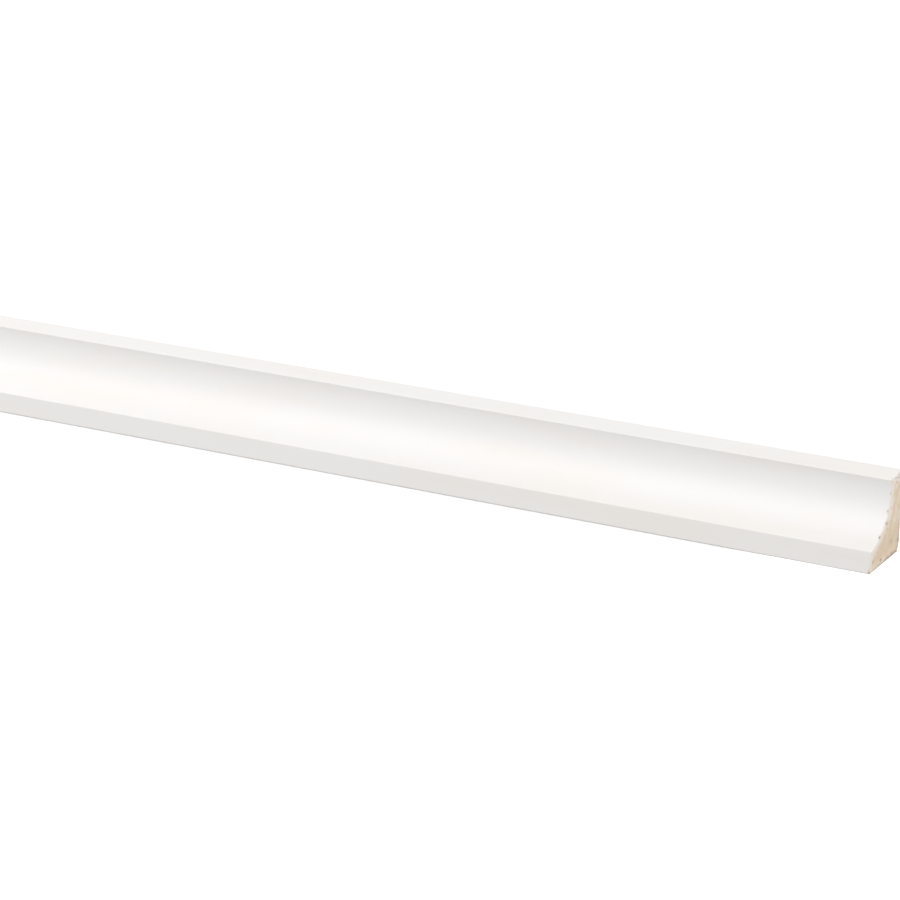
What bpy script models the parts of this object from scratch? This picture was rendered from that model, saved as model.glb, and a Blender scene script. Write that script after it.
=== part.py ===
"""Cove moulding: one straight length of primed softwood, sawn square at both ends.

The row runs along X. The hollow faces -Y, the wall face is on +Y and the underside lies on Z = 0.
"""

import math

import bpy
from mathutils import Matrix, Vector

# Driving dimensions, in metres.
LENGTH = 0.285  # between the two sawn ends
DEPTH = 0.020  # from the wall face to the foot of the front flat
HEIGHT = 0.022  # from the underside to the back edge of the top flat
FRONT_FLAT_HEIGHT = 0.0056
FRONT_FLAT_LEAN = 0.0014  # its upper edge lies this far behind its foot
TOP_FLAT_DEPTH = 0.0062
TOP_FLAT_FALL = 0.00115  # its front edge lies this far below its back edge
HOLLOW = 0.0035  # the cove's deepest point, below the line that joins its two edges
HEEL_DEPTH = 0.0010  # chamfer that keeps the heel clear of the corner it is fixed in
HEEL_HEIGHT = 0.0025
ARRIS_RADIUS = 0.0003

# Facets of the cove's arc and of each eased arris.
COVE_STEPS = 40
ARRIS_STEPS = 4

# Finish.
PRIMER_WHITE = (0.90, 0.90, 0.89, 1.0)
PRIMER_ROUGHNESS = 0.45

OBJECT_NAME = "cove_moulding"
COLLECTION_NAME = "Cove moulding"


def clear_scene():
    """Removes every object that the file starts with."""
    for item in list(bpy.data.objects):
        bpy.data.objects.remove(item, do_unlink=True)


def arc_between(start, end, hollow, steps):
    """Points of the arc from start to end that sinks by hollow to the right of the line between them."""
    chord = end - start
    half = chord.length / 2
    radius = (half * half + hollow * hollow) / (2 * hollow)
    left = Vector((-chord.y, chord.x)).normalized()
    centre = (start + end) / 2 + left * (radius - hollow)
    first = math.atan2(start.y - centre.y, start.x - centre.x)
    last = math.atan2(end.y - centre.y, end.x - centre.x)
    turn = (last - first) % math.tau
    angles = [first + turn * step / steps for step in range(1, steps)]
    return [centre + radius * Vector((math.cos(a), math.sin(a))) for a in angles]


def eased_corner(before, corner, after, radius, steps):
    """Points of the small round that replaces a corner between two straight faces."""
    back = (before - corner).normalized()
    ahead = (after - corner).normalized()
    half_angle = back.angle(ahead) / 2
    centre = corner + (back + ahead).normalized() * radius / math.sin(half_angle)
    reach = radius / math.tan(half_angle)
    first = corner + back * reach - centre
    sweep = first.angle_signed(corner + ahead * reach - centre)
    turns = [Matrix.Rotation(-sweep * step / steps, 2) for step in range(steps + 1)]
    return [centre + turn @ first for turn in turns]


def section_outline():
    """The section in the YZ plane, from the foot of the front flat up over the cove and down the back."""
    foot = Vector((0.0, 0.0))
    cove_foot = Vector((FRONT_FLAT_LEAN, FRONT_FLAT_HEIGHT))
    cove_head = Vector((DEPTH - TOP_FLAT_DEPTH, HEIGHT - TOP_FLAT_FALL))
    top_back = Vector((DEPTH, HEIGHT))
    heel_back = Vector((DEPTH, HEEL_HEIGHT))
    heel_under = Vector((DEPTH - HEEL_DEPTH, 0.0))
    cove = arc_between(cove_foot, cove_head, HOLLOW, COVE_STEPS)

    corners = [foot, cove_foot, *cove, cove_head, top_back, heel_back, heel_under]
    eased = {0, 1, len(cove) + 2, len(cove) + 3}
    outline = []
    for index, corner in enumerate(corners):
        if index in eased:
            before = corners[index - 1]
            after = corners[(index + 1) % len(corners)]
            outline += eased_corner(before, corner, after, ARRIS_RADIUS, ARRIS_STEPS)
        else:
            outline.append(corner)

    # The easing trims the outermost arrises a little, so the outline is centred and set down after it.
    middle = (min(p.x for p in outline) + max(p.x for p in outline)) / 2
    lowest = min(p.y for p in outline)
    return [Vector((p.x - middle, p.y - lowest)) for p in outline]


def primer_material():
    """Water-borne white primer, factory sprayed on planed softwood: smooth with a low sheen."""
    material = bpy.data.materials.new("white_primer")
    material.use_nodes = True
    shader = material.node_tree.nodes["Principled BSDF"]
    shader.inputs["Base Color"].default_value = PRIMER_WHITE
    shader.inputs["Roughness"].default_value = PRIMER_ROUGHNESS
    shader.inputs["Metallic"].default_value = 0.0
    return material


def moulding(collection):
    """The whole moulding: its section drawn as a flat outline and run along X."""
    outline = section_outline()
    curve = bpy.data.curves.new(OBJECT_NAME, "CURVE")
    curve.dimensions = "2D"
    curve.fill_mode = "BOTH"
    curve.extrude = LENGTH / 2
    spline = curve.splines.new("POLY")
    spline.points.add(len(outline) - 1)
    for point, place in zip(spline.points, outline):
        point.co = (place.x, place.y, 0.0, 1.0)
    spline.use_cyclic_u = True
    curve.materials.append(primer_material())

    item = bpy.data.objects.new(OBJECT_NAME, curve)
    # The outline's own x and y become the row's Y and Z, and its thickness runs along X.
    item.rotation_euler = (math.pi / 2, 0.0, math.pi / 2)
    collection.objects.link(item)
    return item


def main():
    clear_scene()
    collection = bpy.data.collections.new(COLLECTION_NAME)
    bpy.context.scene.collection.children.link(collection)
    moulding(collection)


main()
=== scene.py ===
"""Cove moulding: one straight length of white-primed softwood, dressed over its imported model.

It is laid out as a Blender add-on and run as a script. The hollow faces -Y, the wall face is on
+Y, and the near cut, the one that the photograph shows, is on +X.
"""

import math

import bmesh
import bpy
from mathutils import Euler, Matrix, Vector, geometry, kdtree, noise


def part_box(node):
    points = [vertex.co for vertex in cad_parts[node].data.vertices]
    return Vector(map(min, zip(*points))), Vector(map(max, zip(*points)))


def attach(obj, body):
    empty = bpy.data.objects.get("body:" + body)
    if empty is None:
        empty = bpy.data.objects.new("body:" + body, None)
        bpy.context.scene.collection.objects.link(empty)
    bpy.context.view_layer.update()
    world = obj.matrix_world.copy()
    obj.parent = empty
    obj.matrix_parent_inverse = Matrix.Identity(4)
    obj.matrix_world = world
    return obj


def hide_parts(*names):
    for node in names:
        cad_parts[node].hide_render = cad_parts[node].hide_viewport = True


bl_info = {
    "name": "Primed cove moulding",
    "version": (1, 0, 0),
    "blender": (4, 5, 0),
    "location": "View3D > Sidebar > Moulding",
    "description": "A short length of white-primed softwood cove moulding, with its studio",
    "category": "Object",
}

MM = 0.001

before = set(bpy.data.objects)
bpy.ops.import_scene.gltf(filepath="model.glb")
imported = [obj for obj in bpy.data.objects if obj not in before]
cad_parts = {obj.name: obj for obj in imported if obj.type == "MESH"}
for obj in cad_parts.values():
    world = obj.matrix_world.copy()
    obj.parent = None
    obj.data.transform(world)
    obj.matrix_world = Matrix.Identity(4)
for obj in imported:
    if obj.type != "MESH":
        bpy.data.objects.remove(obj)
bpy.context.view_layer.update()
LOW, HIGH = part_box("cove_moulding")
LENGTH = HIGH.x - LOW.x

# Two places closer than this are one place.
SAME = 1e-6
# Nothing further from a cut than this is torn or chipped.
TORN_BAND = 2 * MM
# Edges that turn by more than this stay sharp to the eye.
SHARP_ANGLE = math.radians(35)
# Spacing of the outlines along the length: even by the cuts, then growing up to the longest step.
FIRST_STEP, EVEN_BAND, GROWTH, LONGEST_STEP = 0.1 * MM, 0.85 * MM, 1.3, 4 * MM
# Middle of the saw blade (y, z) at the near cut. At the far cut its z has the other sign.
BLADE = (0.16, -0.05)
# The tree's heart (y, z), low behind the wall face, so the rings cross the cuts as flat bows.
HEART = (85 * MM, -25 * MM)

# Marks of the near cut, in millimetres.
# Broken paint along its arris: middle (y, z), spread along the arris, reach.
NEAR_CHIPS = (
    ((1.6, 12.9), 1.1, 0.40),
    ((-0.4, 10.6), 1.3, 0.20),
    ((-3.0, 8.0), 1.3, 0.35),
    ((3.3, 17.4), 1.1, 0.35),
    ((3.8, 20.7), 1.0, 0.25),
    ((-9.9, 1.0), 0.9, 0.25),
)
# Pits torn in and beside it, darkened with painted shade; the two shallowest, 0.05 mm deep, are
# darker spots in the wood: middle (distance from the cut, y, z), radius, depth, darkness.
NEAR_PITS = (
    ((0.40, 3.3, 17.3), 0.42, 0.08, 0.3),
    ((0.35, 1.8, 13.2), 0.42, 0.15, 0.6),
    ((0.0, 1.1, 10.0), 0.80, 0.30, 1.0),
    ((0.20, -3.3, 7.8), 0.55, 0.25, 0.9),
    ((0.0, 3.3, 13.6), 0.45, 0.15, 0.7),
    ((0.0, 6.7, 19.5), 0.55, 0.15, 0.9),
    ((0.0, 8.9, 17.7), 0.45, 0.15, 0.7),
    ((0.0, -7.5, 2.6), 0.60, 0.20, 0.8),
    ((0.0, -2.3, 1.3), 0.70, 0.20, 0.9),
    ((0.0, -9.7, 0.4), 0.70, 0.15, 1.0),
    ((0.0, 9.2, 3.0), 0.90, 0.15, 0.7),
    ((0.0, 5.2, 0.7), 0.80, 0.15, 0.6),
    ((0.0, 4.4, 4.3), 1.40, 0.05, 0.35),
    ((0.0, 1.6, 8.4), 0.90, 0.05, 0.35),
    ((0.50, 4.4, 20.9), 0.55, 0.06, 0.3),
)
# A splinter lifted below its top, with painted shadow under it: the two ends (y, z), half width,
# depth, darkness of the painted shadow.
NEAR_SPLIT = ((5.2, 21.0), (10.4, 19.65), 0.40, 0.12, 0.5)
# Where primer has run further over its edge: middle (y, z), spread, extra reach.
NEAR_RUNS = (
    ((10.0, 21.9), 7.0, 1.4),
    ((2.2, 12.5), 6.0, 0.8),
)

# The camera, fitted to the photograph's four long edges and the corners of the near cut:
# focal length in mm, place in m, turn in degrees.
CAMERA_LENS = 132.445
CAMERA_PLACE = (0.423163, -0.737972, 0.301001)
CAMERA_TURN = (70.888, 0.0, 28.81)
# The floor's radius in m: large enough to reach past the picture's edge from every side.
FLOOR_RADIUS = 12.0


def linear(code):
    """The linear colour of an sRGB hex value such as #EFEDEA."""
    parts = [int(code[place : place + 2], 16) / 255 for place in (1, 3, 5)]
    return [p / 12.92 if p <= 0.04045 else ((p + 0.055) / 1.055) ** 2.4 for p in parts]


def add_node(tree, kind, inputs=None, **settings):
    """Adds one node with its settings, and gives each named input its value or its link."""
    made = tree.nodes.new(kind)
    for name, value in settings.items():
        setattr(made, name, value)
    for name, value in (inputs or {}).items():
        if isinstance(value, bpy.types.NodeSocket):
            tree.links.new(value, made.inputs[name])
        else:
            made.inputs[name].default_value = value
    return made


class MouldingSizes(bpy.types.PropertyGroup):
    """What the saw, the sprayer and the tree left on the moulding."""

    grid: bpy.props.FloatProperty(
        name="End grid",
        description="Spacing of the mesh lines on the two cut ends",
        default=0.25 * MM,
        min=0.15 * MM,
        max=2.0 * MM,
        precision=5,
        unit="LENGTH",
    )
    saw_pitch: bpy.props.FloatProperty(
        name="Saw marks",
        description="Distance between the marks that the saw's teeth left on the ends",
        default=1.1 * MM,
        min=0.3 * MM,
        precision=5,
        unit="LENGTH",
    )
    saw_depth: bpy.props.FloatProperty(
        name="Saw mark depth",
        description="Depth of the marks that the saw's teeth left on the ends",
        default=0.03 * MM,
        min=0.0,
        precision=5,
        unit="LENGTH",
    )
    ring_width: bpy.props.FloatProperty(
        name="Growth rings",
        description="Width of one year's growth in the end grain",
        default=3.1 * MM,
        min=0.5 * MM,
        precision=4,
        unit="LENGTH",
    )
    smear: bpy.props.FloatProperty(
        name="Primer over the edge",
        description="How far primer has run over the edge on to the cut ends",
        default=3.0 * MM,
        min=0.0,
        precision=5,
        unit="LENGTH",
    )


class MouldingColours(bpy.types.PropertyGroup):
    """Colours of the primer and of the bare pine."""

    primer: bpy.props.FloatVectorProperty(
        name="Primer",
        description="The white that the moulding was sprayed",
        subtype="COLOR",
        default=linear("#EFEDEB"),
        min=0.0,
        max=1.0,
    )
    primer_warm: bpy.props.FloatVectorProperty(
        name="Thin primer",
        description="The same white where it is thinner and the wood warms it",
        subtype="COLOR",
        default=linear("#EEEBE6"),
        min=0.0,
        max=1.0,
    )
    earlywood: bpy.props.FloatVectorProperty(
        name="Spring growth",
        description="The pale, soft part of each growth ring",
        subtype="COLOR",
        default=linear("#EBDFCC"),
        min=0.0,
        max=1.0,
    )
    latewood: bpy.props.FloatVectorProperty(
        name="Summer growth",
        description="The narrow, darker part of each growth ring",
        subtype="COLOR",
        default=linear("#E0CEAE"),
        min=0.0,
        max=1.0,
    )
    heartwood: bpy.props.FloatVectorProperty(
        name="Pink patches",
        description="The pinkish patches of the pine",
        subtype="COLOR",
        default=linear("#E9CFBE"),
        min=0.0,
        max=1.0,
    )
    resin: bpy.props.FloatVectorProperty(
        name="Resinous layer",
        description="The browner layer with more resin in it",
        subtype="COLOR",
        default=linear("#DEC8AD"),
        min=0.0,
        max=1.0,
    )


class StudioSettings(bpy.types.PropertyGroup):
    """The floor and the lights."""

    floor: bpy.props.FloatVectorProperty(
        name="Floor",
        description="Colour of the floor",
        subtype="COLOR",
        default=linear("#F4F4F4"),
        min=0.0,
        max=1.0,
    )
    # Painted light: how brightly the floor glows by the near cut, so that the moulding casts no
    # shadow there.
    painted_light_under_cut: bpy.props.FloatProperty(
        name="Floor glow",
        description="Light that the floor gives off under the near cut, as a light table does",
        default=0.6,
        min=0.0,
    )
    sky: bpy.props.FloatProperty(
        name="Sky",
        description="Brightness of the studio's ceiling and walls",
        default=0.29,
        min=0.0,
    )
    horizon: bpy.props.FloatProperty(
        name="Horizon",
        description="Brightness of the studio's walls near the floor",
        default=1.0,
        min=0.0,
    )
    below: bpy.props.FloatProperty(
        name="Below",
        description="Brightness of what lies below the moulding",
        default=0.50,
        min=0.0,
    )
    key: bpy.props.FloatProperty(
        name="Key softbox",
        description="Power of the large softbox in front, at the left",
        default=9.36,
        min=0.0,
    )
    right: bpy.props.FloatProperty(
        name="Right softbox",
        description="Power of the softbox that faces the near cut",
        default=5.9,
        min=0.0,
    )
    left: bpy.props.FloatProperty(
        name="Left softbox",
        description="Power of the softbox that faces the far cut",
        default=5.0,
        min=0.0,
    )
    back: bpy.props.FloatProperty(
        name="Back softbox",
        description="Power of the softbox behind the wall face",
        default=4.0,
        min=0.0,
    )


def is_plain(normal):
    """True for a long face that is hidden once fixed: the underside, the heel or the wall face."""
    return normal.z < -0.5 or normal.y > 0.5


def distance_to_cut(point):
    """Distance from a point to the nearer of the two cuts."""
    return min(HIGH.x - point.x, point.x - LOW.x)


def circle_through(a, b, c):
    """Centre and radius of the circle through three points of the section plane."""
    ab, ac = b - a, c - a
    turn = 2 * (ab.x * ac.y - ab.y * ac.x)
    across = ac.y * ab.length_squared - ab.y * ac.length_squared
    up = ab.x * ac.length_squared - ac.x * ab.length_squared
    middle = Vector((across, up)) / turn
    return a + middle, middle.length


def keep_cut_end(bm):
    """Keeps only the near cut of the merged copy, as one flat face."""
    others = [face for face in bm.faces if face.normal.x < 0.9]
    bmesh.ops.delete(bm, geom=others, context="FACES")
    bmesh.ops.dissolve_faces(bm, faces=bm.faces[:], use_verts=False)


def true_cove(bm):
    """Centre, radius, foot and head of the cove's arc, from points inside the section's hull."""
    points = [vert.co.yz for vert in bm.verts]
    hull = set(geometry.convex_hull_2d(points))
    hollow = sorted((p for index, p in enumerate(points) if index not in hull), key=lambda p: p.y)
    centre, radius = circle_through(hollow[1], hollow[len(hollow) // 2], hollow[-2])
    return centre, radius, hollow[0], hollow[-1]


def cut_into_grid(bm, step):
    """Cuts the end face along even lines, upright and level."""
    for axis in (1, 2):
        lines = math.ceil((HIGH[axis] - LOW[axis]) / step)
        across = Vector((0.0, axis == 1, axis == 2))
        for line in range(1, lines):
            place = LOW[axis] + (HIGH[axis] - LOW[axis]) * line / lines
            everything = bm.verts[:] + bm.edges[:] + bm.faces[:]
            bmesh.ops.bisect_plane(
                bm,
                geom=everything,
                dist=1e-7,
                plane_co=across * place,
                plane_no=across,
            )
    bmesh.ops.remove_doubles(bm, verts=bm.verts[:], dist=SAME)


def round_the_cove(bm, centre, radius, foot, head):
    """Moves the outline's points off the facets of the CAD model and on to the cove's true arc."""
    facet_gap = 0.02 * MM
    for vert in bm.verts:
        if not vert.is_boundary or not foot.y <= vert.co.z <= head.y:
            continue
        spoke = vert.co.yz - centre
        if abs(spoke.length - radius) < facet_gap:
            vert.co.yz = centre + spoke * (radius / spoke.length)


def travel_steps(length):
    """Steps from one cut to the other: short where the saw tore the paint, long between."""
    steps, covered, step = [], 0.0, FIRST_STEP
    while covered + step < length / 2 and step < LONGEST_STEP:
        steps.append(step)
        covered += step
        if covered > EVEN_BAND:
            step *= GROWTH
    middle = length - 2 * covered
    count = math.ceil(middle / LONGEST_STEP)
    return steps + [middle / count] * count + steps[::-1]


def of_kind(items, kind):
    """The vertices, or the edges, among the items that an operator made."""
    return [item for item in items if isinstance(item, kind)]


def run_out_length(bm):
    """Runs the outline of the near cut along the row's X and closes it with a copy of the cut."""
    rim = [edge for edge in bm.edges if edge.is_boundary]
    cap = bm.verts[:] + bm.edges[:] + bm.faces[:]
    far = bmesh.ops.duplicate(bm, geom=cap)["geom"]
    bmesh.ops.translate(bm, verts=of_kind(far, bmesh.types.BMVert), vec=(-LENGTH, 0, 0))
    for step in travel_steps(LENGTH):
        made = bmesh.ops.extrude_edge_only(bm, edges=rim)["geom"]
        bmesh.ops.translate(bm, verts=of_kind(made, bmesh.types.BMVert), vec=(-step, 0, 0))
        rim = [edge for edge in of_kind(made, bmesh.types.BMEdge) if edge.is_boundary]
    bmesh.ops.remove_doubles(bm, verts=bm.verts[:], dist=SAME)
    bmesh.ops.recalc_face_normals(bm, faces=bm.faces[:])


def middle_of(item):
    """The middle of a point, an edge or a face, as plain numbers."""
    points = [vert.co for vert in item.verts] if hasattr(item, "verts") else [item.co]
    return tuple(sum(points, Vector()) / len(points))


def put_in_order(bm):
    """Sorts points, edges and faces by place, because an extrusion makes them in no set order."""
    for items in (bm.verts, bm.edges, bm.faces):
        ranks = {item: rank for rank, item in enumerate(sorted(items, key=middle_of))}
        items.sort(key=ranks.get)


def fall_off(distance, reach):
    """1 at no distance, falling smoothly to 0 at the reach."""
    share = max(0.0, 1.0 - distance / reach)
    return share * share * (3 - 2 * share)


def chip_width(place, end):
    """How far the paint has broken away from the arris of a cut, at a place on its outline."""
    at = Vector((end * 40 * MM, place.x, place.y)) / MM
    width = 0.10 + 0.14 * noise.noise(at / 1.1) + 0.10 * noise.noise(at / 0.45)
    if end > 0:
        for middle, spread, reach in NEAR_CHIPS:
            width += reach * fall_off((place / MM - Vector(middle)).length, spread)
    else:
        width += max(0.0, 0.9 * noise.noise(at / 3.2))
    return max(0.0, width) * MM


def primer_run(place, end):
    """How much further than elsewhere the primer has run over the edge of a cut."""
    if end < 0:
        return 0.0
    return max(
        reach * MM * fall_off((place / MM - Vector(middle)).length, spread)
        for middle, spread, reach in NEAR_RUNS
    )


def pit_depth(place, end):
    """Depth of the pits at (distance from the cut, y, z), and the painted shade that darkens them,
    from 0 to 1.
    """
    # At the far cut, noise lumps give the pits and the painted shade that darkens them.
    if end < 0:
        lump = noise.noise(Vector((7.0, place.y / MM, place.z / MM)) / 1.3)
        inside = min(1.0, max(0.0, lump - 0.50) * 5)
        return 0.2 * MM * inside, inside
    depth, inside = 0.0, 0.0
    ragged = 1.0 + 0.5 * noise.noise(place / MM / 0.5)
    for middle, radius, deep, dark in NEAR_PITS:
        share = fall_off((place / MM - Vector(middle)).length, radius * ragged)
        depth = max(depth, deep * MM * share)
        inside = max(inside, dark * min(1.0, 1.5 * share))
    # The splinter's line is darkened with painted shadow.
    first, last, half_width, deep, dark = NEAR_SPLIT
    along, share = geometry.intersect_point_line(place.yz / MM, Vector(first), Vector(last))
    if place.x < SAME and 0 < share < 1:
        share = fall_off((place.yz / MM - along.xy).length, half_width * ragged)
        depth = max(depth, deep * MM * share)
        inside = max(inside, dark * share)
    return depth, inside


def saw_relief(place, end, sizes):
    """Height lost to the saw at a place on a cut: shallow bows across it, with torn fibre."""
    bow = (place - Vector((BLADE[0], BLADE[1] * end))).length
    wobble = 0.35 * noise.noise(Vector((bow / MM / 2.2, end * 9.0, place.y / MM / 14)))
    wave = 0.5 + 0.5 * math.sin(math.tau * (bow / sizes.saw_pitch + wobble))
    fibre = 0.5 + 0.5 * noise.noise(Vector((end * 5.0, place.x / MM, place.y / MM)) / 0.35)
    return sizes.saw_depth * (0.6 * wave + 0.6 * fibre)


def long_faces(vert):
    """The faces around a point that run along the length."""
    return [face for face in vert.link_faces if abs(face.normal.x) < 0.5]


def outline_tree(bm, plain):
    """Finds the nearest point on the part of the outline that borders plain, or painted, faces."""
    on_near_cut = [vert for vert in bm.verts if abs(vert.co.x - HIGH.x) < SAME]
    places = [
        vert.co.yz.to_3d()
        for vert in on_near_cut
        if any(is_plain(face.normal) == plain for face in long_faces(vert))
    ]
    tree = kdtree.KDTree(len(places))
    for index, place in enumerate(places):
        tree.insert(place, index)
    tree.balance()
    return tree


def weather(bm, sizes):
    """Breaks the paint along both cuts, marks the cuts and keeps what the finishes need."""
    from_edge = bm.verts.layers.float.new("from_painted_edge")
    from_plain = bm.verts.layers.float.new("from_plain_edge")
    torn = bm.verts.layers.float.new("torn")
    pit_shade_and_spots = bm.verts.layers.float.new("pit_shade_and_spots")
    painted_outline, plain_outline = outline_tree(bm, False), outline_tree(bm, True)
    heel = Vector((HIGH.y - 4 * MM, LOW.z))

    moves = []
    for vert in bm.verts:
        end = 1 if vert.co.x > 0 else -1
        from_cut = distance_to_cut(vert.co)
        place = vert.co.yz
        on_cut = from_cut < SAME
        painted_place, _, painted_gap = painted_outline.find(place.to_3d())
        plain_gap = plain_outline.find(place.to_3d())[2]
        gap = painted_gap if on_cut else from_cut
        vert[from_edge] = gap - primer_run(place, end)
        # The grey-brown line along the hidden edges is widest by the heel, and narrows towards the
        # foot and up the wall face.
        vert[from_plain] = plain_gap + 0.05 * (place - heel).length
        if from_cut > TORN_BAND:
            vert[torn] = -1.0
            continue
        width = chip_width(painted_place.xy, end)
        reach = 0.7 * width if on_cut else width
        painted_side = painted_gap < 0.01 * MM
        vert[torn] = (reach - gap) / MM if on_cut or painted_side else -1.0
        move = Vector()
        broken = max(0.0, reach - gap)
        # The second value is the painted shade in the torn pits, and the darker wood spots, for the
        # finishes.
        depth, vert[pit_shade_and_spots] = pit_depth(Vector((from_cut, place.x, place.y)), end)
        outward = sum((face.normal for face in long_faces(vert)), Vector())
        if painted_side and outward.length:
            move -= outward.normalized() * (broken * 0.35 + depth)
        if on_cut:
            inner = 1.0 - fall_off(min(painted_gap, plain_gap), 0.3 * MM)
            move.x -= end * (broken * 0.4 + (depth + saw_relief(place, end, sizes)) * inner)
        moves.append((vert, move))
    for vert, move in moves:
        vert.co += move


def keep_inside_cad(bm):
    """Holds every point inside the CAD model's box."""
    for vert in bm.verts:
        for axis in range(3):
            vert.co[axis] = min(max(vert.co[axis], LOW[axis]), HIGH[axis])


def finish_faces(bm):
    """Gives each face its finish, and shades the flats and the cove smooth between arrises."""
    deepest_mark = 0.6 * MM
    for face in bm.faces:
        face.smooth = True
        by_a_cut = all(distance_to_cut(vert.co) < deepest_mark for vert in face.verts)
        if by_a_cut and abs(face.normal.x) > 0.5:
            face.material_index = 1
        else:
            face.material_index = 2 if is_plain(face.normal) else 0
    for edge in bm.edges:
        edge.smooth = len(edge.link_faces) == 2 and edge.calc_face_angle() < SHARP_ANGLE


def wood_colour(tree, place, colours, ring_width):
    """Pine: growth rings, pink and olive patches between them, and a browner layer low down."""
    wander = add_node(
        tree,
        "ShaderNodeTexNoise",
        {"Vector": place, "Scale": 1 / (6 * MM), "Detail": 2.0},
    )
    flat = add_node(
        tree,
        "ShaderNodeVectorMath",
        {0: place, 1: (0.0, 1.0, 1.0)},
        operation="MULTIPLY",
    )
    spoke = add_node(
        tree,
        "ShaderNodeVectorMath",
        {0: flat.outputs[0], 1: (0.0, *HEART)},
        operation="DISTANCE",
    )
    years = add_node(
        tree,
        "ShaderNodeMath",
        {0: spoke.outputs["Value"], 1: ring_width},
        operation="DIVIDE",
    )
    bent = add_node(
        tree,
        "ShaderNodeMath",
        {0: wander.outputs["Fac"], 1: 0.9, 2: years.outputs[0]},
        operation="MULTIPLY_ADD",
    )
    season = add_node(tree, "ShaderNodeMath", {0: bent.outputs[0]}, operation="FRACT")
    late = add_node(
        tree,
        "ShaderNodeMapRange",
        {"Value": season.outputs[0], "From Min": 0.35, "From Max": 0.95, "To Max": 0.7},
        interpolation_type="SMOOTHSTEP",
    )
    rings = add_node(
        tree,
        "ShaderNodeMix",
        {0: late.outputs[0], 6: (*colours.earlywood, 1), 7: (*colours.latewood, 1)},
        data_type="RGBA",
    )
    patches = add_node(
        tree,
        "ShaderNodeTexNoise",
        {"Vector": place, "Scale": 1 / (4 * MM), "Detail": 1.0},
    )
    pink = add_node(
        tree,
        "ShaderNodeMapRange",
        {"Value": patches.outputs["Fac"], "From Min": 0.50, "From Max": 0.64, "To Max": 0.8},
        interpolation_type="SMOOTHSTEP",
    )
    olive = add_node(
        tree,
        "ShaderNodeMapRange",
        {"Value": patches.outputs["Fac"], "From Min": 0.46, "From Max": 0.34, "To Max": 0.7},
        interpolation_type="SMOOTHSTEP",
    )
    warm = add_node(
        tree,
        "ShaderNodeMix",
        {0: pink.outputs[0], 6: rings.outputs[2], 7: (*colours.heartwood, 1)},
        data_type="RGBA",
    )
    patchy = add_node(
        tree,
        "ShaderNodeMix",
        {0: olive.outputs[0], 6: warm.outputs[2], 7: (*colours.latewood, 1)},
        data_type="RGBA",
    )
    # A browner layer with more resin, 6 mm thick and 5 mm up, that runs through the whole length.
    split = add_node(tree, "ShaderNodeSeparateXYZ", {"Vector": place})
    level = add_node(
        tree,
        "ShaderNodeMath",
        {0: wander.outputs["Fac"], 1: 4 * MM, 2: split.outputs["Z"]},
        operation="MULTIPLY_ADD",
    )
    off = add_node(tree, "ShaderNodeMath", {0: level.outputs[0], 1: 7 * MM}, operation="SUBTRACT")
    gap = add_node(tree, "ShaderNodeMath", {0: off.outputs[0]}, operation="ABSOLUTE")
    resin = add_node(
        tree,
        "ShaderNodeMapRange",
        {"Value": gap.outputs[0], "From Min": 4.5 * MM, "From Max": 1.5 * MM, "To Max": 0.6},
        interpolation_type="SMOOTHSTEP",
    )
    return add_node(
        tree,
        "ShaderNodeMix",
        {0: resin.outputs[0], 6: patchy.outputs[2], 7: (*colours.resin, 1)},
        data_type="RGBA",
    ).outputs[2]


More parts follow.
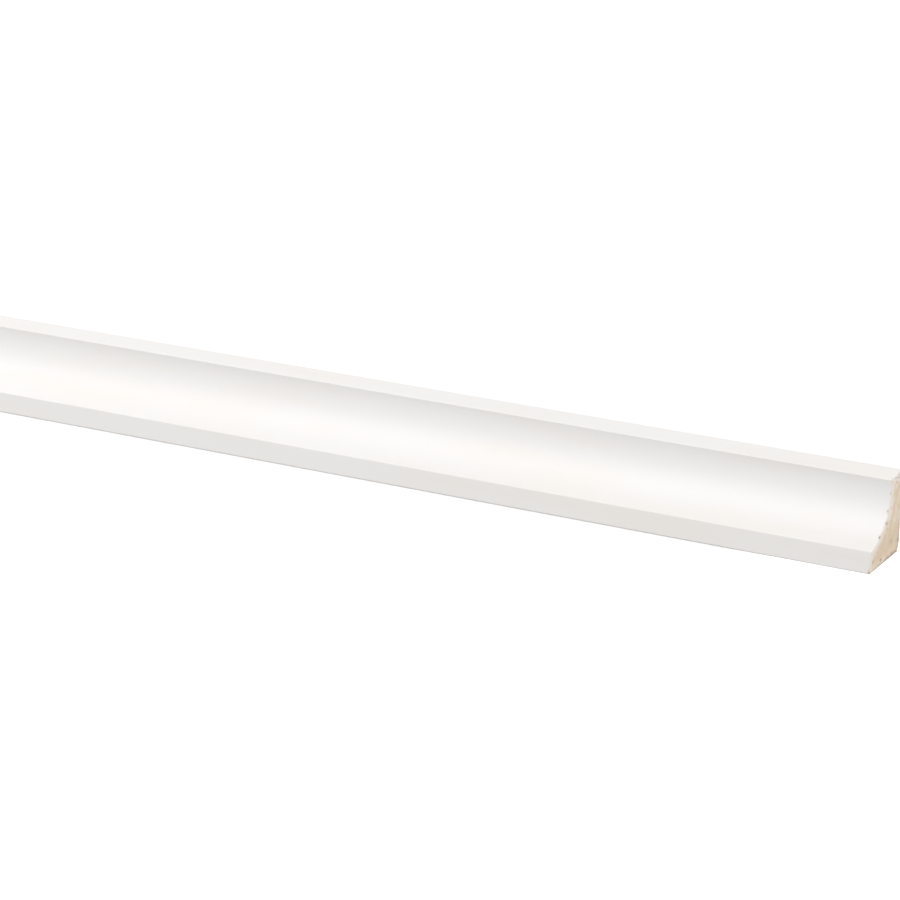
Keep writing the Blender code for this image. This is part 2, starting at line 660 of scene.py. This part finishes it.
def sprayed_primer(colours, sizes):
    """Water-borne acrylic primer, sprayed white in the factory on planed and sanded pine.

    To the eye it is an even, low-sheen white: a soft ripple from the spray, the raised grain
    running through it along the length, and bare torn fibre where the saw broke it at the cuts.
    """
    material = bpy.data.materials.new("sprayed_white_primer")
    material.use_nodes = True
    tree = material.node_tree
    shader = tree.nodes["Principled BSDF"]
    place = add_node(tree, "ShaderNodeTexCoord").outputs["Object"]

    # Clouds where the coat is thinner: about 60 mm long and 9 mm across.
    along = add_node(tree, "ShaderNodeMapping", {"Vector": place, "Scale": (0.15, 1.0, 1.0)})
    clouds = add_node(
        tree,
        "ShaderNodeTexNoise",
        {"Vector": along.outputs[0], "Scale": 1 / (9 * MM), "Detail": 3.0},
    )
    thin = add_node(
        tree,
        "ShaderNodeMapRange",
        {"Value": clouds.outputs["Fac"], "From Min": 0.4, "From Max": 0.7},
        interpolation_type="SMOOTHSTEP",
    )
    coat = add_node(
        tree,
        "ShaderNodeMix",
        {0: thin.outputs[0], 6: (*colours.primer, 1), 7: (*colours.primer_warm, 1)},
        data_type="RGBA",
    )

    # Bare fibre at the cuts, with an edge as ragged as the fibre bundles, about 0.35 mm.
    torn = add_node(tree, "ShaderNodeAttribute", attribute_name="torn")
    bundles = add_node(
        tree,
        "ShaderNodeTexNoise",
        {"Vector": place, "Scale": 1 / (0.35 * MM), "Detail": 2.0},
    )
    ragged = add_node(
        tree,
        "ShaderNodeMath",
        {0: bundles.outputs["Fac"], 1: 0.30, 2: torn.outputs["Fac"]},
        operation="MULTIPLY_ADD",
    )
    bare = add_node(
        tree,
        "ShaderNodeMapRange",
        {"Value": ragged.outputs[0], "From Min": 0.12, "From Max": 0.24},
        interpolation_type="SMOOTHSTEP",
    )
    fibre = wood_colour(tree, place, colours, sizes.ring_width)
    broken = add_node(
        tree,
        "ShaderNodeMix",
        {0: bare.outputs[0], 6: coat.outputs[2], 7: fibre},
        data_type="RGBA",
    )
    # Painted shade: the torn pits beside the cuts are darkened towards #9C8C74.
    pit_shade_and_spots = add_node(tree, "ShaderNodeAttribute", attribute_name="pit_shade_and_spots")
    dark = add_node(tree, "ShaderNodeMath", {0: pit_shade_and_spots.outputs["Fac"], 1: 0.6}, operation="MULTIPLY")
    colour = add_node(
        tree,
        "ShaderNodeMix",
        {0: dark.outputs[0], 6: broken.outputs[2], 7: (*linear("#9C8C74"), 1)},
        data_type="RGBA",
    )
    tree.links.new(colour.outputs[2], shader.inputs["Base Color"])

    # Grain raised by the water: lines 0.5 mm apart, drawn 0.9 mm apart so that they show.
    stretched = add_node(tree, "ShaderNodeMapping", {"Vector": place, "Scale": (0.02, 1.0, 1.0)})
    grain = add_node(
        tree,
        "ShaderNodeTexNoise",
        {"Vector": stretched.outputs[0], "Scale": 1 / (0.9 * MM), "Detail": 3.0},
    )
    ripple = add_node(
        tree,
        "ShaderNodeTexNoise",
        {"Vector": place, "Scale": 1 / (1.6 * MM), "Detail": 1.0},
    )
    height = add_node(
        tree,
        "ShaderNodeMath",
        {0: grain.outputs["Fac"], 1: 0.6, 2: ripple.outputs["Fac"]},
        operation="MULTIPLY_ADD",
    )
    rough_fibre = add_node(
        tree,
        "ShaderNodeMath",
        {0: bare.outputs[0], 1: bundles.outputs["Fac"]},
        operation="MULTIPLY",
    )
    relief = add_node(
        tree,
        "ShaderNodeMath",
        {0: rough_fibre.outputs[0], 1: 8.0, 2: height.outputs[0]},
        operation="MULTIPLY_ADD",
    )
    bump = add_node(
        tree,
        "ShaderNodeBump",
        {"Height": relief.outputs[0], "Strength": 0.5, "Distance": 0.02 * MM},
    )
    tree.links.new(bump.outputs[0], shader.inputs["Normal"])

    sheen = add_node(
        tree,
        "ShaderNodeMapRange",
        {"Value": clouds.outputs["Fac"], "To Min": 0.40, "To Max": 0.52},
    )
    rough = add_node(
        tree,
        "ShaderNodeMix",
        {0: bare.outputs[0], 2: sheen.outputs[0], 3: 0.85},
        data_type="FLOAT",
    )
    tree.links.new(rough.outputs[0], shader.inputs["Roughness"])
    shader.inputs["IOR"].default_value = 1.48
    return material


def sawn_pine(colours, sizes):
    """Bare pine, cross-cut with a fine circular saw and left unsanded.

    To the eye it is matt and pale tan, with soft growth rings, fibre ends like felt, a few torn
    pits darkened with painted shade, primer run over the painted edge and a broken grey-brown line
    along the others.
    """
    material = bpy.data.materials.new("sawn_pine_end_grain")
    material.use_nodes = True
    tree = material.node_tree
    shader = tree.nodes["Principled BSDF"]
    place = add_node(tree, "ShaderNodeTexCoord").outputs["Object"]
    wood = wood_colour(tree, place, colours, sizes.ring_width)

    # Fibre ends: 0.04 mm across in the tree, drawn as 0.4 mm bundles, the least that shows.
    fibres = add_node(
        tree,
        "ShaderNodeTexNoise",
        {"Vector": place, "Scale": 1 / (0.4 * MM), "Detail": 3.0},
    )
    speckle = add_node(
        tree,
        "ShaderNodeMapRange",
        {"Value": fibres.outputs["Fac"], "From Min": 0.3, "From Max": 0.7, "To Max": 0.22},
    )
    fuzzy = add_node(
        tree,
        "ShaderNodeMix",
        {0: speckle.outputs[0], 6: wood, 7: (*linear("#B7A284"), 1)},
        data_type="RGBA",
    )

    # Primer over the edge, thinning inwards.
    edge = add_node(tree, "ShaderNodeAttribute", attribute_name="from_painted_edge")
    runs = add_node(
        tree,
        "ShaderNodeTexNoise",
        {"Vector": place, "Scale": 1 / (1.5 * MM), "Detail": 2.0},
    )
    reach = add_node(
        tree,
        "ShaderNodeMath",
        {0: runs.outputs["Fac"], 1: 2.0 * sizes.smear},
        operation="MULTIPLY",
    )
    smear = add_node(
        tree,
        "ShaderNodeMapRange",
        {
            "Value": edge.outputs["Fac"],
            "From Min": 0.0,
            "From Max": reach.outputs[0],
            "To Min": 0.9,
            "To Max": 0.0,
        },
        interpolation_type="SMOOTHSTEP",
    )
    primed = add_node(
        tree,
        "ShaderNodeMix",
        {0: smear.outputs[0], 6: fuzzy.outputs[2], 7: (*linear("#F0E7E1"), 1)},
        data_type="RGBA",
    )

    # A broken grey-brown line up to about 1 mm wide along the hidden edges.
    hidden = add_node(tree, "ShaderNodeAttribute", attribute_name="from_plain_edge")
    width = add_node(
        tree,
        "ShaderNodeMath",
        {0: runs.outputs["Fac"], 1: 2.6 * MM},
        operation="MULTIPLY",
    )
    hidden_edge_line = add_node(
        tree,
        "ShaderNodeMapRange",
        {
            "Value": hidden.outputs["Fac"],
            "From Min": 0.2 * MM,
            "From Max": width.outputs[0],
            "To Min": 0.8,
            "To Max": 0.0,
        },
        interpolation_type="SMOOTHSTEP",
    )
    lined = add_node(
        tree,
        "ShaderNodeMix",
        {0: hidden_edge_line.outputs[0], 6: primed.outputs[2], 7: (*linear("#9F9788"), 1)},
        data_type="RGBA",
    )

    # Painted shade: the torn pits and the splinter's line are darkened towards #9C8C74; a few
    # shallow spots are darker wood.
    pit_shade_and_spots = add_node(tree, "ShaderNodeAttribute", attribute_name="pit_shade_and_spots")
    dark = add_node(tree, "ShaderNodeMath", {0: pit_shade_and_spots.outputs["Fac"], 1: 0.75}, operation="MULTIPLY")
    colour = add_node(
        tree,
        "ShaderNodeMix",
        {0: dark.outputs[0], 6: lined.outputs[2], 7: (*linear("#9C8C74"), 1)},
        data_type="RGBA",
    )
    tree.links.new(colour.outputs[2], shader.inputs["Base Color"])
    bump = add_node(
        tree,
        "ShaderNodeBump",
        {"Height": fibres.outputs["Fac"], "Strength": 0.6, "Distance": 0.08 * MM},
    )
    tree.links.new(bump.outputs[0], shader.inputs["Normal"])
    shader.inputs["Roughness"].default_value = 0.85
    shader.inputs["IOR"].default_value = 1.45
    return material


def thin_primer(colours):
    """The same primer, one thin coat over planed pine on the faces that a wall will hide.

    To the eye it is a duller white than the front, with the grain's lines and the planer's ripples
    showing through it.
    """
    material = bpy.data.materials.new("thin_primer_on_planed_pine")
    material.use_nodes = True
    tree = material.node_tree
    shader = tree.nodes["Principled BSDF"]
    place = add_node(tree, "ShaderNodeTexCoord").outputs["Object"]

    # Grain lines: about 2 mm apart and 100 mm long.
    stretched = add_node(tree, "ShaderNodeMapping", {"Vector": place, "Scale": (0.02, 1.0, 1.0)})
    grain = add_node(
        tree,
        "ShaderNodeTexNoise",
        {"Vector": stretched.outputs[0], "Scale": 1 / (2 * MM), "Detail": 4.0},
    )
    through = add_node(
        tree,
        "ShaderNodeMapRange",
        {"Value": grain.outputs["Fac"], "From Min": 0.42, "From Max": 0.68, "To Max": 0.5},
        interpolation_type="SMOOTHSTEP",
    )
    colour = add_node(
        tree,
        "ShaderNodeMix",
        {0: through.outputs[0], 6: (*colours.primer_warm, 1), 7: (*linear("#E3D8C6"), 1)},
        data_type="RGBA",
    )
    tree.links.new(colour.outputs[2], shader.inputs["Base Color"])

    # Planer ripples, 2 mm apart along the length.
    split = add_node(tree, "ShaderNodeSeparateXYZ", {"Vector": place})
    turns = add_node(
        tree,
        "ShaderNodeMath",
        {0: split.outputs["X"], 1: math.tau / (2 * MM)},
        operation="MULTIPLY",
    )
    ripple = add_node(tree, "ShaderNodeMath", {0: turns.outputs[0]}, operation="SINE")
    height = add_node(
        tree,
        "ShaderNodeMath",
        {0: grain.outputs["Fac"], 1: 3.0, 2: ripple.outputs[0]},
        operation="MULTIPLY_ADD",
    )
    bump = add_node(
        tree,
        "ShaderNodeBump",
        {"Height": height.outputs[0], "Strength": 0.5, "Distance": 0.01 * MM},
    )
    tree.links.new(bump.outputs[0], shader.inputs["Normal"])
    shader.inputs["Roughness"].default_value = 0.6
    shader.inputs["IOR"].default_value = 1.48
    return material


class MOULDING_OT_add_length(bpy.types.Operator):
    """Makes the primed length with its two sawn ends, over the CAD model"""

    bl_idname = "moulding.add_length"
    bl_label = "Add primed length"

    def execute(self, context):
        sizes, colours = context.scene.moulding_sizes, context.scene.moulding_colours
        bm = bmesh.new()
        bm.from_mesh(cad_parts["cove_moulding"].data)
        bmesh.ops.remove_doubles(bm, verts=bm.verts[:], dist=SAME)
        keep_cut_end(bm)
        cove = true_cove(bm)
        cut_into_grid(bm, sizes.grid)
        round_the_cove(bm, *cove)
        run_out_length(bm)
        put_in_order(bm)
        weather(bm, sizes)
        keep_inside_cad(bm)
        bmesh.ops.recalc_face_normals(bm, faces=bm.faces[:])
        finish_faces(bm)
        mesh = bpy.data.meshes.new("primed_moulding")
        bm.to_mesh(mesh)
        bm.free()
        # In the order of the finishes' numbers in finish_faces.
        mesh.materials.append(sprayed_primer(colours, sizes))
        mesh.materials.append(sawn_pine(colours, sizes))
        mesh.materials.append(thin_primer(colours))
        piece = bpy.data.objects.new("primed_moulding", mesh)
        context.collection.objects.link(piece)
        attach(piece, "root")
        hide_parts("cove_moulding")
        return {"FINISHED"}


def add_softbox(context, name, side, distance, width, power):
    """A square softbox that faces the moulding from one side."""
    light = bpy.data.lights.new(name, "AREA")
    light.shape = "SQUARE"
    light.size = width
    light.energy = power
    item = bpy.data.objects.new(name, light)
    toward = Vector(side).normalized()
    item.location = toward * distance
    item.rotation_euler = toward.to_track_quat("Z", "Y").to_euler()
    item.visible_camera = False
    context.collection.objects.link(item)


def studio_world(studio):
    """The studio's white walls and ceiling, brightest near the floor, and soft light from below."""
    world = bpy.data.worlds.new("white_studio")
    world.use_nodes = True
    tree = world.node_tree
    direction = add_node(tree, "ShaderNodeTexCoord").outputs["Generated"]
    split = add_node(tree, "ShaderNodeSeparateXYZ", {"Vector": direction})
    rise = add_node(
        tree,
        "ShaderNodeMapRange",
        {
            "Value": split.outputs["Z"],
            "From Max": 0.45,
            "To Min": studio.horizon,
            "To Max": studio.sky,
        },
        interpolation_type="SMOOTHSTEP",
    )
    above = add_node(
        tree,
        "ShaderNodeMath",
        {0: split.outputs["Z"], 1: 0.0},
        operation="GREATER_THAN",
    )
    strength = add_node(
        tree,
        "ShaderNodeMix",
        {0: above.outputs[0], 2: studio.below, 3: rise.outputs[0]},
        data_type="FLOAT",
    )
    background = tree.nodes["Background"]
    background.inputs["Color"].default_value = (1.0, 1.0, 1.0, 1.0)
    tree.links.new(strength.outputs[0], background.inputs["Strength"])
    return world


def floor_material(studio):
    """Matt white floor with a painted pool of light under the near cut, which takes away the
    moulding's shadow there.
    """
    material = bpy.data.materials.new("white_floor_painted_light")
    material.use_nodes = True
    tree = material.node_tree
    shader = tree.nodes["Principled BSDF"]
    shader.inputs["Base Color"].default_value = (*studio.floor, 1.0)
    shader.inputs["Roughness"].default_value = 0.9
    shader.inputs["Specular IOR Level"].default_value = 0.0
    shader.inputs["Emission Color"].default_value = (1.0, 1.0, 1.0, 1.0)
    place = add_node(tree, "ShaderNodeTexCoord").outputs["Object"]
    # A painted pool of light around this spot by the near cut's front corner, fading out from 24 mm
    # to 50 mm, that hides the moulding's shadow.
    unshadowed_spot = (HIGH.x + 8 * MM, LOW.y, 0.0)
    away = add_node(tree, "ShaderNodeVectorMath", {0: place, 1: unshadowed_spot}, operation="DISTANCE")
    painted_light_pool = add_node(
        tree,
        "ShaderNodeMapRange",
        {
            "Value": away.outputs["Value"],
            "From Min": 24 * MM,
            "From Max": 50 * MM,
            "To Min": studio.painted_light_under_cut,
            "To Max": 0.0,
        },
        interpolation_type="SMOOTHSTEP",
    )
    # Away from the softboxes the sheet glows more, so that it stays as white as by the moulding.
    far = add_node(tree, "ShaderNodeVectorMath", {0: place}, operation="LENGTH")
    even = add_node(
        tree,
        "ShaderNodeMapRange",
        {
            "Value": far.outputs["Value"],
            "From Min": 0.06,
            "From Max": 1.0,
            "To Min": 0.06,
            "To Max": 0.95,
        },
        interpolation_type="SMOOTHSTEP",
    )
    total = add_node(
        tree,
        "ShaderNodeMath",
        {0: painted_light_pool.outputs[0], 1: even.outputs[0]},
        operation="ADD",
    )
    tree.links.new(total.outputs[0], shader.inputs["Emission Strength"])
    return material


class MOULDING_OT_add_stage(bpy.types.Operator):
    """Makes the white floor, the soft lights and the camera"""

    bl_idname = "moulding.add_stage"
    bl_label = "Add studio"

    def execute(self, context):
        studio = context.scene.moulding_studio
        bm = bmesh.new()
        bmesh.ops.create_circle(bm, cap_ends=True, segments=96, radius=FLOOR_RADIUS)
        mesh = bpy.data.meshes.new("floor")
        bm.to_mesh(mesh)
        bm.free()
        mesh.materials.append(floor_material(studio))
        floor = bpy.data.objects.new("floor", mesh)
        # The world lights the moulding from below, so that the bright floor needn't.
        floor.visible_diffuse = False
        floor.visible_glossy = False
        context.collection.objects.link(floor)

        add_softbox(context, "key_softbox", (-0.35, -0.55, 0.95), 1.2, 0.9, studio.key)
        add_softbox(context, "right_softbox", (1.0, -0.1, 0.35), 1.2, 0.7, studio.right)
        add_softbox(context, "left_softbox", (-1.0, 0.1, 0.35), 1.2, 0.7, studio.left)
        add_softbox(context, "back_softbox", (0.1, 1.0, 0.4), 1.3, 0.8, studio.back)
        context.scene.world = studio_world(studio)
        context.scene.view_settings.view_transform = "Standard"

        camera = bpy.data.cameras.new("camera")
        camera.lens = CAMERA_LENS
        camera.sensor_width = 36.0
        camera.clip_start = 0.05
        camera.clip_end = 50.0
        item = bpy.data.objects.new("camera", camera)
        item.location = CAMERA_PLACE
        item.rotation_euler = Euler([math.radians(turn) for turn in CAMERA_TURN])
        context.collection.objects.link(item)
        context.scene.camera = item
        return {"FINISHED"}


class MOULDING_PT_panel(bpy.types.Panel):
    """Lists the moulding's sizes, colours and steps in the sidebar"""

    bl_idname = "MOULDING_PT_panel"
    bl_label = "Primed cove moulding"
    bl_space_type = "VIEW_3D"
    bl_region_type = "UI"
    bl_category = "Moulding"

    def draw(self, context):
        scene = context.scene
        for group in (scene.moulding_sizes, scene.moulding_colours, scene.moulding_studio):
            box = self.layout.box()
            for name in group.__annotations__:
                box.prop(group, name)
        self.layout.operator(MOULDING_OT_add_length.bl_idname)
        self.layout.operator(MOULDING_OT_add_stage.bl_idname)


CLASSES = (
    MouldingSizes,
    MouldingColours,
    StudioSettings,
    MOULDING_OT_add_length,
    MOULDING_OT_add_stage,
    MOULDING_PT_panel,
)


def register():
    for item in CLASSES:
        bpy.utils.register_class(item)
    bpy.types.Scene.moulding_sizes = bpy.props.PointerProperty(type=MouldingSizes)
    bpy.types.Scene.moulding_colours = bpy.props.PointerProperty(type=MouldingColours)
    bpy.types.Scene.moulding_studio = bpy.props.PointerProperty(type=StudioSettings)


def unregister():
    del bpy.types.Scene.moulding_studio
    del bpy.types.Scene.moulding_colours
    del bpy.types.Scene.moulding_sizes
    for item in reversed(CLASSES):
        bpy.utils.unregister_class(item)


def main():
    """Builds the stage and the moulding."""
    register()
    bpy.ops.moulding.add_stage()
    bpy.ops.moulding.add_length()


if __name__ == "__main__":
    main()
